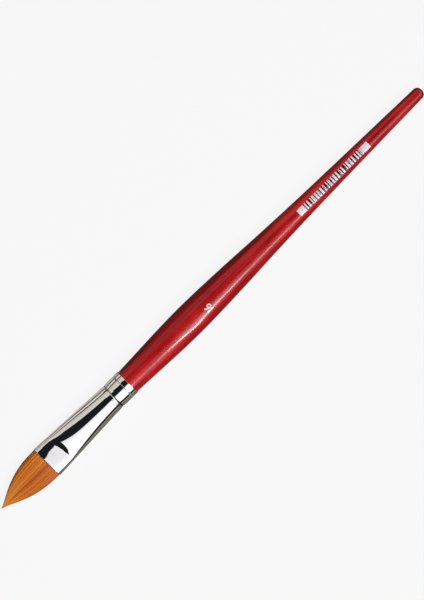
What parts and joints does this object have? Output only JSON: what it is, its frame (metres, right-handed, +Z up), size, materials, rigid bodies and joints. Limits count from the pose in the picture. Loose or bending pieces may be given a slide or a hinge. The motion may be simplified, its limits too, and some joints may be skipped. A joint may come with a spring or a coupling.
{
  "type": "artist's wash brush",
  "caption": "Pointed oval wash brush with a soft tuft that bends and springs back, a flattened crimped metal ferrule and a glossy turned wooden handle.",
  "frame": {"origin": "on the resting plane, under the middle of the brush's length", "axes": "+X along the handle from the tip towards the tail, +Y across the width of the tuft, +Z up out of the flat side"},
  "size_m": [0.21, 0.0132, 0.0118],
  "materials": {
    "handle_wood": "bare turned hardwood",
    "red_lacquer": "glossy red lacquer",
    "wood_glue": "dried glue",
    "plated_metal": "bright nickel plating",
    "hair": "satin synthetic filament",
    "thread": "waxed thread",
    "epoxy": "cured resin"
  },
  "bodies": {
    "brush": {"handle_core": "handle_wood", "lacquer_coat": "red_lacquer", "handle_glue": "wood_glue", "ferrule": "plated_metal", "hair_roots": "hair", "binding_thread": "thread", "hair_glue": "epoxy"},
    "tuft": {"bristles": "hair"}
  },
  "joints": [
    {"name": "tuft_flex", "type": "hinge", "parent": "brush", "child": "tuft", "pos_m": [-0.0819, 0, 0.0059], "axis": [0, 1, 0], "range_deg": [-30, 30], "stiffness_Nm_per_rad": 0.004}
  ]
}
